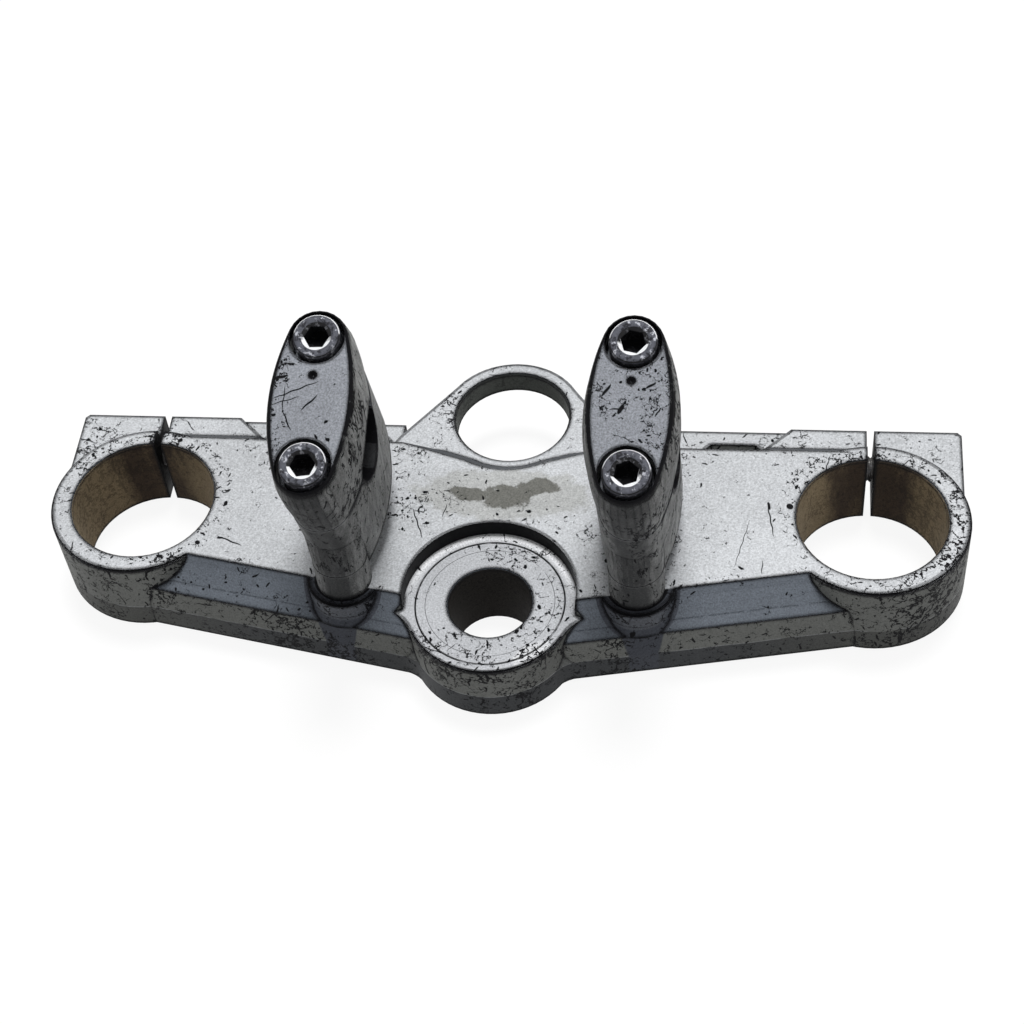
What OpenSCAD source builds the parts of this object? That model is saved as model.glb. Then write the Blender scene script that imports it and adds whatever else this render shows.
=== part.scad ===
// Motorcycle top yoke (upper triple clamp) with two handlebar risers.
// Millimetres. Origin on the steering stem axis, at the underside of the stem boss, on
// which the part rests. The modules below are drawn from the flat top of the plate.
// X runs across the bike, +Y runs away from the risers' lean, +Z is up along the stem.

/* [Fork clamps] */
// Distance between the two fork tube axes
fork_spacing = 217.2; // [205:0.1:230]
// How far the fork axes lie behind the stem axis
fork_offset = 30.5; // [25:0.1:36]
// Fork tube clamp bore diameter
fork_bore_d = 43; // [37:0.1:45]
// Wall of the clamp ring around the bore
fork_wall = 6.1; // [4.5:0.1:8]
// How far the outside of the ring sits outside the bore axis
ring_shift = 0.6; // [0:0.1:1.5]
// Depth of the clamp rings from the top of the plate
fork_depth = 26; // [22:0.5:27]
// How far the cast underside stands back from the machined ring ends
relief = 0.1; // [0.05:0.05:0.3]
// Width of the pinch slot behind each ring
slot_w = 2.2; // [1:0.1:4]

/* [Pinch lugs] */
// Top of the lugs below the plate
lug_drop = 3.8; // [2:0.1:5]
// Rear face of the lugs and of the strip between them, from the stem axis
rear_y = 66.9; // [65:0.1:72]
// Reach of a lug outside its fork axis
lug_out = 26.8; // [22:0.1:30]
// Reach of a lug inside its fork axis, at the rear face
lug_in = 23.5; // [18:0.1:28]
// Pinch bolt axis from the stem axis
pinch_y = 59.2; // [58:0.1:62]
// Pinch bolt axis below the plate
pinch_z = 12.4; // [11:0.1:16]
// Pinch bolt thread diameter
pinch_d = 8; // [6:0.5:8]
// Length of the pinch bolts under the head
pinch_len = 38; // [32:1:42]
// Depth of the pinch bolt heads in the lugs
pinch_sink = 9.5; // [9:0.5:12]

/* [Plate] */
// Straight rear edge of the raised plate
plate_rear_y = 55.3; // [52:0.1:58]
// Sloping shoulder behind the plate, measured in plan
shoulder_w = 4.1; // [2:0.1:6]
// Strip between lug and key switch wing, below the plate
strip_drop = 5.5; // [4.5:0.1:7]
// Underside of the strip and wing, below the plate
wing_under = 11.3; // [9:0.1:14]
// Angle of the front wall to the cross axis
front_angle = 10.6; // [8:0.1:13]
// Front wall from the stem axis, square to the wall
front_dist = 15.9; // [14:0.1:18]
// Plan width of the sloping pocket above the front wall
pocket_w = 8.5; // [6:0.1:10]
// Depth of the lower edge of the sloping pocket
pocket_drop = 9.2; // [7:0.1:12]
// Depth of the parting line on the front wall
parting_drop = 17.7; // [13:0.1:19]
// Plan width of the draft between pocket edge and parting line
draft_w = 0.8; // [0:0.1:1.5]

/* [Strip pockets] */
// Inner end of the outer pocket in the strip
scoop_x = 58; // [56:0.5:62]
// Length of the outer pocket
scoop_len = 19.5; // [10:0.5:20]
// Inner end of the inner pocket in the strip
scoop_in_x = 35.5; // [34:0.5:40]
// Length of the inner pocket
scoop_in_len = 14.5; // [8:0.5:18]
// Reach of the pockets behind the plate
scoop_w = 6.4; // [4:0.1:8.5]
// Depth of the pockets below the strip
scoop_drop = 3.2; // [2:0.1:4]

/* [Steering stem] */
// Stem bore diameter
stem_bore_d = 24; // [20:0.1:28]
// Outer diameter of the stem boss
stem_boss_d = 49.2; // [46:0.1:50]
// Diameter of the milled recess around the boss face
recess_d = 50.4; // [50:0.1:53]
// Boss face below the plate
recess_drop = 5.4; // [4:0.1:7]
// Underside of the boss below the plate
stem_depth = 28.8; // [27.5:0.1:32]
// Diameter of the collar under the boss
collar_d = 45; // [40:0.1:46]
// Height of the collar
collar_h = 1.7; // [0.6:0.1:4]
// Reach of the milled ears beside the boss face, across the bike
ear_x = 27.5; // [26:0.1:28]
// Radius of the blends from boss to front wall
flare_r = 10; // [6:0.5:12]
// How far the blends open out at the pocket
flare_open = 2.4; // [0:0.1:3]
// Diameter of the turned groove on the boss face
groove_d = 44; // [38:0.5:46]
// Width of the turned groove
groove_w = 0.6; // [0.3:0.1:1]
// Depth of the turned groove
groove_depth = 0.3; // [0.1:0.1:0.6]

/* [Key switch wing] */
// Key switch bore diameter
key_bore_d = 35; // [32:0.1:37]
// Key switch axis from the stem axis
key_y = 70; // [68:0.1:74]
// Outer diameter of the wing around the bore
key_ring_d = 43.4; // [41:0.1:46]
// Wing top below the plate
wing_drop = 3.86; // [3:0.1:5]
// Radius of the step in the plate around the bore
step_r = 24.6; // [24:0.1:26]
// Angle of the straight step lines on each side
step_angle = 18.4; // [16:0.1:20]
// Half width of the wing where it leaves the plate
wing_half = 36; // [35:0.5:38]

/* [Risers] */
// Distance between the two risers
riser_spacing = 84.7; // [80:0.1:90]
// Foot axis from the stem axis
foot_y = 3.1; // [1:0.1:5]
// Foot diameter
foot_d = 16; // [15:0.1:18]
// Height of the round foot
foot_h = 10.6; // [6:0.1:13]
// Diameter of the seat boss under each foot
seat_d = 22; // [20:0.1:24]
// Lean of the risers from the vertical
lean = 17.6; // [12:0.1:20]
// Top of the caps above the plate, on the middle of the riser
top_z = 71.6; // [66:0.1:78]
// Middle of the cap top from the stem axis
top_y = 8.1; // [4:0.1:12]
// Distance between the two cap bolts
bolt_pitch = 37.1; // [35:0.1:40]
// End radius of the oval plan
oval_end_r = 8.6; // [8.2:0.1:10]
// Largest half width of the oval plan
oval_half = 12; // [10.5:0.1:13]
// Length of each riser along its lean, from cap top to lower face
riser_len = 62.5; // [56:0.5:63]
// Handlebar clamp diameter
bar_d = 22.2; // [22:0.1:22.6]
// Handlebar axis below the cap top
bar_drop = 26.5; // [24:0.1:28]
// Gap between cap and riser behind the handlebar, closed in front of it
cap_gap = 1.4; // [0.6:0.1:2.5]
// Rounding of the upper edge of the caps
cap_round = 1.5; // [0.5:0.1:2]
// How far the flanks of the caps bulge beyond the risers
cap_bulge = 0.9; // [0:0.1:2]

/* [Cap bolts] */
// Thread diameter
cap_bolt_d = 8; // [6:0.5:8]
// Head diameter
cap_head_d = 13; // [12:0.1:13.4]
// Head height
cap_head_h = 8; // [6:0.1:8.5]
// Hexagon socket across flats
cap_hex = 6; // [5:0.5:6.5]
// How far the heads stand above the caps
cap_head_proud = 1; // [0:0.1:2]
// Counterbore diameter
cap_sink_d = 15.2; // [14:0.1:15.6]
// Bolt length under the head
cap_bolt_len = 38; // [30:1:42]
// Punch mark diameter on each cap
dimple_d = 2.6; // [1:0.1:3]
// Punch mark from the middle of the cap
dimple_u = 7.5; // [4:0.1:9]

/* [Foot bolts] */
// Thread diameter
foot_bolt_d = 10; // [8:0.5:10]
// Head diameter
foot_head_d = 16; // [14:0.5:16]
// Head height
foot_head_h = 8; // [6:0.5:9]
// Hexagon socket across flats
foot_hex = 8; // [6:0.5:8]
// Depth of the head recess under the plate
foot_sink = 9.5; // [9:0.5:12]
// Thread length inside the foot
foot_thread = 15; // [10:0.5:17]

/* [Clearances] */
// Radial gap of a bolt in its through hole
hole_gap = 0.25; // [0.1:0.05:0.5]
// Radial gap between thread and tapped hole
thread_gap = 0.05; // [0.02:0.01:0.1]
// Radial gap around a sunk bolt head
head_gap = 0.3; // [0.2:0.05:0.6]
// Free depth below the end of a bolt
end_gap = 2; // [1:0.5:3]
// Small edge chamfer
edge = 0.6; // [0.3:0.1:0.8]

/* [Hidden] */
$fn = 96;

silver = [0.78, 0.79, 0.8];
dark_silver = [0.5, 0.51, 0.54];
steel = [0.68, 0.69, 0.72];

fork_x = fork_spacing / 2;
fork_r = fork_bore_d / 2;
ring_r = fork_r + fork_wall;
lug_x0 = fork_x - lug_in;
lug_x1 = fork_x + lug_out;
riser_x = riser_spacing / 2;
stem_r = stem_boss_d / 2;
half_pitch = bolt_pitch / 2;
oval_len = half_pitch + oval_end_r;
seat_z = pocket_drop + 6;
cap_h = bar_drop + 0.4;

// Everything that repeats on both sides of the stem.
module pair() {
  children();
  mirror([1, 0, 0]) children();
}

// A bar along the front wall. The profile is drawn with x square to the wall
// (positive is backwards) and y upwards.
module along_front(from, to) {
  rotate([0, 0, front_angle])
    translate([from, -front_dist, 0])
      rotate([90, 0, 90])
        linear_extrude(to - from) children();
}

// Front wall with draft, parting line and sloping pocket.
module front_profile() {
  polygon([
    [0, relief - fork_depth],
    [0, -parting_drop],
    [draft_w, -pocket_drop],
    [draft_w + pocket_w * 0.34, -pocket_drop * 0.8],
    [draft_w + pocket_w * 0.62, -pocket_drop * 0.55],
    [draft_w + pocket_w * 0.84, -pocket_drop * 0.28],
    [draft_w + pocket_w, 0],
    [draft_w + pocket_w + 16, 0],
    [draft_w + pocket_w + 16, relief - fork_depth]
  ]);
}

// Plan of the plate behind the front bars.
module plate_plan() {
  polygon([
    [0, -8],
    [24, 2],
    [fork_x - 14, 14],
    [fork_x, fork_offset],
    [fork_x - 10, plate_rear_y],
    [0, plate_rear_y]
  ]);
}

// Plan of a pinch lug, with its slanting inner end.
module lug_plan(y0) {
  slant = rear_y - y0;
  polygon([
    [lug_x0 - slant, y0],
    [lug_x1, y0],
    [lug_x1, rear_y - 1.2],
    [lug_x1 - 1.2, rear_y],
    [lug_x0, rear_y]
  ]);
}

module lug() {
  difference() {
    union() {
      translate([0, 0, -fork_depth])
        linear_extrude(fork_depth - lug_drop) lug_plan(fork_offset + 4);
      // shoulder from the plate down to the lug
      translate([lug_x0 - 12, 0, 0])
        rotate([90, 0, 90])
          linear_extrude(fork_x - lug_x0 + 6)
            polygon([
              [plate_rear_y - 3, 0],
              [plate_rear_y, 0],
              [plate_rear_y + shoulder_w, -lug_drop],
              [plate_rear_y + shoulder_w, -wing_under],
              [plate_rear_y - 3, -wing_under]
            ]);
    }
    // slanting end falls away to the strip
    translate([lug_x0, rear_y, -lug_drop])
      rotate([0, 0, -45])
        rotate([90, 0, 0])
          linear_extrude(80, center = true)
            polygon([
              [0, 0],
              [-(strip_drop - lug_drop), -(strip_drop - lug_drop)],
              [-40, -(strip_drop - lug_drop)],
              [-40, lug_drop + 8],
              [lug_drop + 8, lug_drop + 8],
              [lug_drop, lug_drop]
            ]);
  }
}

// Part of the plate that keeps its full height behind the stem.
module plate_step_cut() {
  translate([0, key_y, -wing_drop])
    cylinder(h = wing_drop, r1 = step_r - shoulder_w, r2 = step_r);
  translate([0, key_y, -0.01]) cylinder(h = 5, r = step_r);
  pair()
    translate([12, key_y - sqrt(step_r * step_r - 144), 0])
      rotate([0, 0, step_angle])
        translate([-1.5, 0, 0])
          rotate([90, 0, 90])
            linear_extrude(60)
              polygon([
                [0, 0],
                [shoulder_w, -wing_drop],
                [40, -wing_drop],
                [40, 5],
                [0, 5]
              ]);
}

// One pocket of the strip, milled against the rear wall of the plate.
module scoop(x0, length) {
  translate([x0, plate_rear_y, -strip_drop - scoop_drop])
    linear_extrude(scoop_drop + 2)
      polygon([
        [0, -0.01],
        [1.2, scoop_w - 2.2],
        [3.2, scoop_w],
        [length - 2.8, scoop_w],
        [length - 0.8, scoop_w - 2.2],
        [length, -0.01]
      ]);
}

// Wing plan around the key switch, its sides running smoothly into the round end.
module wing_plan() {
  corner = [wing_half - 2, plate_rear_y + 5.5 - key_y];
  turn = atan2(corner[1], corner[0]) + acos(key_ring_d / 2 / norm(corner));
  side_x = (key_ring_d / 2 - relief) * cos(turn);
  side_y = key_y + (key_ring_d / 2 - relief) * sin(turn);
  translate([0, key_y]) circle(d = key_ring_d);
  polygon([
    [-wing_half, plate_rear_y - 8],
    [wing_half, plate_rear_y - 8],
    [wing_half, plate_rear_y + 2],
    [wing_half - 2, plate_rear_y + 5.5],
    [side_x, side_y],
    [-side_x, side_y],
    [-wing_half + 2, plate_rear_y + 5.5],
    [-wing_half, plate_rear_y + 2]
  ]);
}

// Concave blend between the stem boss and one front wall, opening out to the pocket.
module flare() {
  reach = front_dist + flare_r;
  turn = acos(reach / (stem_r + flare_r));
  a = front_angle - 90;
  cx = (stem_r + flare_r) * cos(a + turn);
  cy = (stem_r + flare_r) * sin(a + turn);
  difference() {
    translate([0, 0, 2 * relief - fork_depth])
      linear_extrude(fork_depth - pocket_drop - 2 * relief)
        polygon([
          [6, -6],
          [cx - flare_r * cos(a), cy - flare_r * sin(a)],
          [cx, cy],
          [stem_r * cos(a + turn), stem_r * sin(a + turn)]
        ]);
    translate([cx, cy, -fork_depth - 1])
      cylinder(h = fork_depth + 1 - parting_drop, r = flare_r);
    translate([cx, cy, -parting_drop - 0.01])
      cylinder(h = parting_drop - pocket_drop + 0.02, r1 = flare_r, r2 = flare_r + flare_open);
  }
}

// Plan of the milled ear between boss face and sloping pocket.
module ear_plan() {
  polygon([
    [16, -3],
    [ear_x - 4, -2.5],
    [ear_x, -4.8],
    [ear_x - 1.6, -5.9],
    [ear_x - 3.2, -7.3],
    [ear_x - 4.6, -9],
    [ear_x - 5.6, -11],
    [12, -11]
  ]);
}

module yoke_body() {
  difference() {
    union() {
      // plate with both front walls
      difference() {
        union() {
          pair() {
            translate([0, 0, 3 * relief - fork_depth])
              linear_extrude(fork_depth - 3 * relief) plate_plan();
            along_front(14, fork_x) front_profile();
          }
        }
        plate_step_cut();
        // room for the key switch body under the wing
        translate([0, key_y, -fork_depth - 1])
          cylinder(h = fork_depth + 1 - wing_under + 2, r = step_r);
        pair() translate([14, key_y - 16, -fork_depth - 1])
          rotate([0, 0, step_angle])
            cube([40, 30, fork_depth + 1 - wing_under + 2]);
      }
      // clamp rings
      pair()
        translate([fork_x + ring_shift, fork_offset, -fork_depth]) {
          cylinder(h = fork_depth - edge, r = ring_r);
          cylinder(h = fork_depth, r = ring_r - edge);
        }
      pair() lug();
      // strip between lugs and wing
      pair()
        translate([wing_half - 3, plate_rear_y - 2, -wing_under])
          cube([lug_x0 - wing_half + 5, rear_y - plate_rear_y + 2 - relief, wing_under - strip_drop]);
      // key switch wing
      translate([0, 0, -wing_under]) linear_extrude(wing_under - wing_drop) wing_plan();
      // riser seats
      pair()
        translate([riser_x, foot_y + 0.9, -seat_z]) {
          cylinder(h = seat_z - edge, d = seat_d);
          cylinder(h = seat_z, d = seat_d - 2 * edge);
          translate([0, 0, seat_z - pocket_drop - 0.2])
            cylinder(h = pocket_drop * 0.5, d1 = seat_d + 2.4, d2 = seat_d - 0.6);
        }
      // blends beside the stem boss
      pair() {
        flare();
        translate([0, 0, -pocket_drop - 1])
          linear_extrude(pocket_drop + 1 - recess_drop) ear_plan();
      }
    }
    // milled recess around the stem boss, with its ears
    translate([0, 0, -recess_drop]) cylinder(h = 20, d = recess_d);
    pair() translate([0, 0, -recess_drop]) linear_extrude(20) ear_plan();
    pair() {
      scoop(scoop_x, scoop_len);
      scoop(scoop_in_x, scoop_in_len);
    }
  }
  // stem boss
  translate([0, 0, -stem_depth + collar_h + edge])
    cylinder(h = stem_depth - collar_h - recess_drop - 2 * edge, r = stem_r);
  translate([0, 0, -stem_depth + collar_h])
    cylinder(h = stem_depth - collar_h - recess_drop, r = stem_r - edge);
  translate([0, 0, -stem_depth]) cylinder(h = collar_h + 2, d = collar_d);
}

module yoke() {
  color(silver)
    difference() {
      yoke_body();
      // stem bore with its chamfer
      translate([0, 0, -stem_depth - 1]) cylinder(h = stem_depth + 5, d = stem_bore_d);
      translate([0, 0, -recess_drop - edge])
        cylinder(h = edge + 0.01, d1 = stem_bore_d, d2 = stem_bore_d + 2 * edge);
      // turned groove
      translate([0, 0, -recess_drop - groove_depth])
        difference() {
          cylinder(h = groove_depth + 1, d = groove_d);
          translate([0, 0, -1]) cylinder(h = groove_depth + 3, d = groove_d - 2 * groove_w);
        }
      // key switch bore
      translate([0, key_y, -wing_under - 1]) cylinder(h = wing_under + 5, d = key_bore_d);
      translate([0, key_y, -wing_drop - edge])
        cylinder(h = edge + 0.01, d1 = key_bore_d, d2 = key_bore_d + 2 * edge);
      pair() {
        // fork bores and pinch slots
        translate([fork_x, fork_offset, -fork_depth - 5])
          cylinder(h = fork_depth + 10, d = fork_bore_d);
        translate([fork_x, fork_offset, -edge])
          cylinder(h = edge + 0.01, d1 = fork_bore_d, d2 = fork_bore_d + 2 * edge);
        translate([fork_x - slot_w / 2, fork_offset, -fork_depth - 5])
          cube([slot_w, rear_y - fork_offset + 5, fork_depth + 10]);
        // pinch bolt: clear hole outside the slot, thread inside it
        translate([0, pinch_y, -pinch_z]) rotate([0, 90, 0]) {
          translate([0, 0, fork_x])
            cylinder(h = 60, d = pinch_d + 2 * hole_gap);
          translate([0, 0, lug_x1 - pinch_sink - pinch_len - end_gap])
            cylinder(h = pinch_len, d = pinch_d + 2 * thread_gap);
          translate([0, 0, lug_x1 - pinch_sink])
            cylinder(h = pinch_sink + 5, d = pinch_d + 5 + 2 * head_gap);
        }
        // foot bolt from below
        translate([riser_x, foot_y, -fork_depth - 5])
          cylinder(h = fork_depth + 10, d = foot_bolt_d + 2 * hole_gap);
        translate([riser_x, foot_y, -fork_depth - 5])
          cylinder(h = foot_sink + 5, d = foot_head_d + 2 * head_gap);
      }
    }
}

// Frame of one riser: z along the lean, y along the oval, origin on the cap top.
module riser_frame(side) {
  translate([side * riser_x, top_y, top_z]) rotate([lean, 0, 0]) children();
}

// Oval plan with round ends and bowed sides.
module oval(half, end_r, pitch_half) {
  bow = (pitch_half * pitch_half + half * half - end_r * end_r) / (2 * (half - end_r));
  reach = pitch_half * bow / (bow - end_r);
  intersection() {
    translate([bow - half, 0]) circle(r = bow, $fn = 180);
    translate([half - bow, 0]) circle(r = bow, $fn = 180);
    square([4 * half, 2 * reach], center = true);
  }
  for (s = [-1, 1]) translate([0, s * pitch_half]) circle(r = end_r, $fn = 64);
}

// The same oval as one closed ring of points, for the rounded caps.
function oval_ring(half, end_r, pitch_half, n = 10) =
  let (
    bow = (pitch_half * pitch_half + half * half - end_r * end_r) / (2 * (half - end_r)),
    tilt = asin(pitch_half / (bow - end_r)),
    side = [for (i = [-n : n]) let (a = tilt * i / n) [bow * cos(a) - (bow - half), bow * sin(a)]],
    tip = [for (i = [1 : n - 1]) let (a = tilt + (180 - 2 * tilt) * i / n)
      [end_r * cos(a), pitch_half + end_r * sin(a)]]
  )
  concat(side, tip, [for (p = side) [-p[0], -p[1]]], [for (p = tip) [-p[0], -p[1]]]);

module slice(z, half, end_r) {
  translate([0, 0, z]) linear_extrude(0.01) polygon(oval_ring(half, end_r, half_pitch));
}

module riser(side) {
  color(dark_silver)
    difference() {
      union() {
        difference() {
          riser_frame(side)
            translate([0, 0, -riser_len])
              linear_extrude(riser_len - cap_h)
                oval(oval_half, oval_end_r, half_pitch);
          // the leaning body always stays clear of the plate
          translate([side * riser_x - 30, top_y - 60, relief - 60]) cube([60, 120, 60]);
        }
        // front of the body runs down into the round foot
        hull() {
          riser_frame(side)
            translate([0, -half_pitch, -riser_len + 22])
              cylinder(h = 0.01, r = oval_end_r - 0.15, $fn = 32);
          translate([side * riser_x, foot_y, foot_h - 0.6])
            cylinder(h = 0.01, d = foot_d - 0.3, $fn = 32);
        }
        translate([side * riser_x, foot_y, 0]) cylinder(h = foot_h, d = foot_d);
      }
      riser_frame(side) {
        translate([-30, 0, -bar_drop]) rotate([0, 90, 0]) cylinder(h = 60, d = bar_d);
        // open joint behind the handlebar
        translate([-30, 0, -cap_h - cap_gap]) cube([60, oval_len + 10, cap_gap + 5]);
        for (s = [-1, 1])
          translate([0, s * half_pitch, -cap_head_h + cap_head_proud - cap_bolt_len - end_gap])
            cylinder(h = cap_bolt_len + end_gap, d = cap_bolt_d + 2 * thread_gap);
      }
      translate([side * riser_x, foot_y, -1])
        cylinder(h = foot_thread + end_gap + 1, d = foot_bolt_d + 2 * thread_gap);
    }
}

module cap(side) {
  color(dark_silver)
    riser_frame(side)
      difference() {
        union() {
          // flanks bulge from the joint to the middle and close in to the top
          hull() {
            slice(-cap_h, oval_half - 0.2, oval_end_r - 0.1);
            slice(-cap_h * 0.62, oval_half + cap_bulge * 0.9, oval_end_r + cap_bulge * 0.6);
            slice(-cap_h * 0.3, oval_half + cap_bulge, oval_end_r + cap_bulge * 0.7);
            slice(-cap_round, oval_half - 0.3, oval_end_r - 0.2);
            slice(-0.35 * cap_round, oval_half - 0.5 * cap_round, oval_end_r - 0.3 * cap_round);
            slice(-0.01, oval_half - 1.1 * cap_round, oval_end_r - 0.75 * cap_round);
          }
        }
        translate([-30, 0, -bar_drop]) rotate([0, 90, 0]) cylinder(h = 60, d = bar_d);
        for (s = [-1, 1]) translate([0, s * half_pitch, 0]) {
          translate([0, 0, -cap_h - 1]) cylinder(h = cap_h + 2, d = cap_bolt_d + 2 * hole_gap);
          translate([0, 0, -cap_head_h + cap_head_proud])
            cylinder(h = cap_head_h + 1, d = cap_sink_d);
        }
        translate([0, dimple_u, -dimple_d * 0.35])
          cylinder(h = dimple_d, d1 = 0.6, d2 = dimple_d * 2.2, $fn = 32);
      }
}

// Socket head screw: seat of the head at z = 0, thread downwards.
module socket_screw(d, head_d, head_h, hex, length) {
  color(steel) {
    difference() {
      union() {
        cylinder(h = head_h - 0.5, d = head_d);
        translate([0, 0, head_h - 0.5]) cylinder(h = 0.5, d1 = head_d, d2 = head_d - 1);
      }
      translate([0, 0, head_h - hex * 0.7])
        cylinder(h = hex, d = hex / cos(30), $fn = 6);
      translate([0, 0, head_h - 0.5])
        cylinder(h = 0.6, d1 = hex * 1.1, d2 = hex * 1.4);
    }
    translate([0, 0, -length + 0.8]) cylinder(h = length - 0.8, d = d);
    translate([0, 0, -length]) cylinder(h = 0.8, d1 = d - 1.6, d2 = d);
  }
}

module cap_bolt(side, end) {
  riser_frame(side)
    translate([0, end * half_pitch, -cap_head_h + cap_head_proud])
      socket_screw(cap_bolt_d, cap_head_d, cap_head_h, cap_hex, cap_bolt_len);
}

module foot_bolt(side) {
  translate([side * riser_x, foot_y, -fork_depth + foot_sink])
    rotate([180, 0, 0])
      socket_screw(foot_bolt_d, foot_head_d, foot_head_h, foot_hex, fork_depth - foot_sink + foot_thread);
}

module pinch_bolt(side) {
  translate([side * (lug_x1 - pinch_sink), pinch_y, -pinch_z])
    rotate([0, side * 90, 0])
      socket_screw(pinch_d, pinch_d + 5, pinch_d, pinch_d * 0.75, pinch_len);
}

// From the top of the plate to the underside of the stem boss.
module place() {
  translate([0, 0, stem_depth]) children();
}

place() yoke();
place() riser(-1);  // riser_left
place() mirror([1, 0, 0]) riser(-1);  // riser_right
place() cap(-1);  // cap_left
place() mirror([1, 0, 0]) cap(-1);  // cap_right
place() cap_bolt(-1, -1);  // cap_bolt_left_front
place() cap_bolt(-1, 1);  // cap_bolt_left_rear
place() cap_bolt(1, -1);  // cap_bolt_right_front
place() cap_bolt(1, 1);  // cap_bolt_right_rear
place() foot_bolt(-1);  // foot_bolt_left
place() foot_bolt(1);  // foot_bolt_right
place() pinch_bolt(-1);  // pinch_bolt_left
place() pinch_bolt(1);  // pinch_bolt_right
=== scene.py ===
import math
import bmesh
import bpy
from mathutils import Matrix, Vector


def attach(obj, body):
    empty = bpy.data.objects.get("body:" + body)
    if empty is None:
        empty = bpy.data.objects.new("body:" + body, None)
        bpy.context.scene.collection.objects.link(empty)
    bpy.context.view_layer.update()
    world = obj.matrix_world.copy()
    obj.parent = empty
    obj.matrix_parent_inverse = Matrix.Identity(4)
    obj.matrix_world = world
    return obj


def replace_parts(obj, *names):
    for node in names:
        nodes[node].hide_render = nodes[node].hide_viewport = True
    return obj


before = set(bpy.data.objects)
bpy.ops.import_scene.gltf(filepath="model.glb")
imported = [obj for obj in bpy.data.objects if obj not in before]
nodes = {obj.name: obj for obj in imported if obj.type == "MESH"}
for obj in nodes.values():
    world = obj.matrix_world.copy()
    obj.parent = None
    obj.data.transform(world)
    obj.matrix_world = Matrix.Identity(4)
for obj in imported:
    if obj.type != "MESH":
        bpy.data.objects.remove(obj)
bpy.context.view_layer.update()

print("frame loaded:", len(nodes), "nodes")


def addNode(tree, kind, links=None, **settings):
    node = tree.nodes.new("ShaderNode" + kind)
    for key, value in settings.items():
        setattr(node, key, value)
    for key, value in (links or {}).items():
        if isinstance(value, bpy.types.NodeSocket):
            tree.links.new(value, node.inputs[key])
        else:
            node.inputs[key].default_value = value
    return node


def calc(tree, operation, a, b=None):
    links = {0: a} if b is None else {0: a, 1: b}
    return addNode(tree, "Math", links, operation=operation).outputs[0]


def ramp(tree, value, low, high, outLow=0.0, outHigh=1.0):  # smooth step between two values
    return addNode(tree, "MapRange", {"Value": value, "From Min": low, "From Max": high, "To Min": outLow,
                                      "To Max": outHigh}, interpolation_type="SMOOTHSTEP").outputs[0]


def blend(tree, factor, a, b):  # colour a where factor is 0, b where it is 1
    mix = addNode(tree, "Mix", data_type="RGBA")
    for socket, value in zip((mix.inputs[0], mix.inputs[6], mix.inputs[7]), (factor, a, b)):
        if isinstance(value, bpy.types.NodeSocket):
            tree.links.new(value, socket)
        else:
            socket.default_value = value
    return mix.outputs[2]


def newGroup(name, inputs, outputs):
    group = bpy.data.node_groups.new(name, "ShaderNodeTree")
    for label, kind, value in inputs:
        group.interface.new_socket(label, in_out="INPUT",
                                   socket_type="NodeSocket" + kind).default_value = value
    for label, kind in outputs:
        group.interface.new_socket(label, in_out="OUTPUT", socket_type="NodeSocket" + kind)
    return group, group.nodes.new("NodeGroupInput").outputs, group.nodes.new("NodeGroupOutput").inputs


def place(tree, group, **values):  # one copy of a shared group, with its own values
    node = addNode(tree, "Group", node_tree=group)
    for key, value in values.items():
        label = key[0].upper() + key[1:]
        if isinstance(value, bpy.types.NodeSocket):
            tree.links.new(value, node.inputs[label])
        else:
            node.inputs[label].default_value = value
    return node.outputs


def noiseField(tree, coords, scale, detail=3.0, roughness=0.55):
    return addNode(tree, "TexNoise", {"Vector": coords, "Scale": scale, "Detail": detail,
                                      "Roughness": roughness}).outputs


def shifted(tree, seed):  # object coordinates moved on, so that no two finishes repeat
    coords = addNode(tree, "TexCoord").outputs["Object"]
    return addNode(tree, "VectorMath", {0: coords, 1: seed}, operation="ADD").outputs[0]


def inverse(tree, value):
    return calc(tree, "SUBTRACT", 1.0, value)


def largest(tree, *values):
    result = values[0]
    for value in values[1:]:
        result = calc(tree, "MAXIMUM", result, value)
    return result


def toned(tree, colour, tone):
    return addNode(tree, "VectorMath", {0: colour, 1: tone}, operation="MULTIPLY").outputs[0]


def product(tree, first, *others):
    for value in others:
        first = calc(tree, "MULTIPLY", first, value)
    return first


def size(tree, value):  # without its sign
    return calc(tree, "ABSOLUTE", value)


def gap(tree, a, b):  # how far two values are apart
    return size(tree, calc(tree, "SUBTRACT", a, b))


def below(tree, value, limit, soft=0.0002):  # 1 below the limit, 0 above it
    return ramp(tree, value, limit + soft, limit - soft)


def beyond(tree, value, limit, soft=0.0002):  # 1 above the limit, 0 below it
    return ramp(tree, value, limit - soft, limit + soft)


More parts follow.
